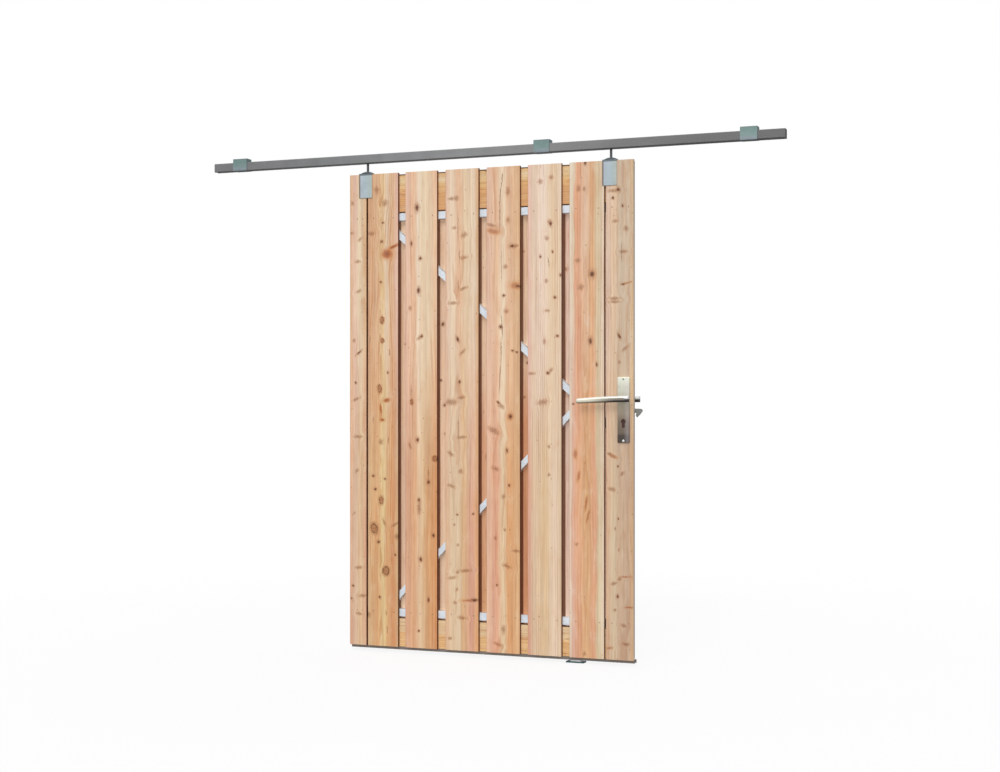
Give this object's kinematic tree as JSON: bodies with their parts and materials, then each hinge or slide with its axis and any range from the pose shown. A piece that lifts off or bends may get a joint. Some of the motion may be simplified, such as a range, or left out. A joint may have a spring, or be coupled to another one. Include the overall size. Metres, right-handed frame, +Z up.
{
  "type": "sliding garden gate",
  "caption": "Top-hung sliding garden gate: a board-clad leaf on a steel frame rolls along a C rail with brackets, floor guide, lever handle and hook lock.",
  "frame": {"origin": "centre of the flat top face of the middle rail bracket, where it is fixed under a beam", "axes": "+X along the rail, to the right when seen from the front; +Y towards the back of the gate; +Z up"},
  "size_m": [2.4, 0.168, 2.019],
  "materials": {
    "boards": "planed softwood boards with knots",
    "battens": "planed softwood, grain across",
    "galvanised": "galvanised",
    "channel_steel": "dark brown coating",
    "rail_steel": "mid grey coating, satin",
    "bracket_steel": "grey-green coating, satin",
    "hanger_steel": "zinc plated",
    "rod_steel": "dark zinc plated",
    "stainless": "polished stainless",
    "nickel": "nickel plated",
    "hook_steel": "ground steel",
    "guide_plastic": "light grey plastic",
    "buffer": "black rubber"
  },
  "bodies": {
    "track": {"rail": "rail_steel", "rail_stop_left": "buffer", "rail_stop_right": "buffer", "rail_bracket_left": "bracket_steel", "rail_bracket_middle": "bracket_steel", "rail_bracket_right": "bracket_steel", "floor_guide_plate": "bracket_steel", "floor_guide_fin": "guide_plastic"},
    "leaf": {"front_board_1": "boards", "front_board_2": "boards", "front_board_3": "boards", "front_board_4": "boards", "front_board_5": "boards", "front_board_6": "boards", "front_board_7": "boards", "front_board_8": "boards", "back_boards": "boards", "top_batten": "battens", "bottom_batten": "battens", "frame_top_bar": "galvanised", "frame_bottom_bar": "galvanised", "frame_stile_left": "galvanised", "frame_stile_right": "galvanised", "frame_brace_upper": "galvanised", "frame_brace_lower": "galvanised", "guide_channel": "channel_steel", "hanger_left": "hanger_steel", "hanger_right": "hanger_steel", "hanger_rod_left": "rod_steel", "hanger_rod_right": "rod_steel", "hanger_rod_nuts": "rod_steel", "hanger_back_nuts": "rod_steel", "hanger_caps": "rod_steel", "trolley_left": "rod_steel", "trolley_right": "rod_steel", "lock_case": "galvanised", "lock_face_plate": "stainless", "lock_cylinder": "nickel", "hook_pin": "rod_steel", "handle_plate_front": "stainless", "handle_plate_back": "stainless"},
    "lever": {"lever_front": "stainless", "lever_back": "stainless", "lever_spindle": "rod_steel"},
    "hook": {"hook_bolt": "hook_steel"}
  },
  "joints": [
    {"name": "leaf_slide", "type": "slide", "parent": "track", "child": "leaf", "axis": [1, 0, 0], "range_m": [-0.626, 0.591]},
    {"name": "lever_turn", "type": "hinge", "parent": "leaf", "child": "lever", "pos_m": [0.332, 0.013, -1.004], "axis": [0, -1, 0], "range_deg": [0, 40], "stiffness_Nm_per_rad": 1.2, "springref_deg": -57.3},
    {"name": "hook_swing", "type": "hinge", "parent": "leaf", "child": "hook", "pos_m": [0.328, 0.013, -1.052], "axis": [0, -1, 0], "range_deg": [0, 24]}
  ],
  "couplings": [
    {"joint": "hook_swing", "follows": "lever_turn", "ratio": 0.6}
  ]
}
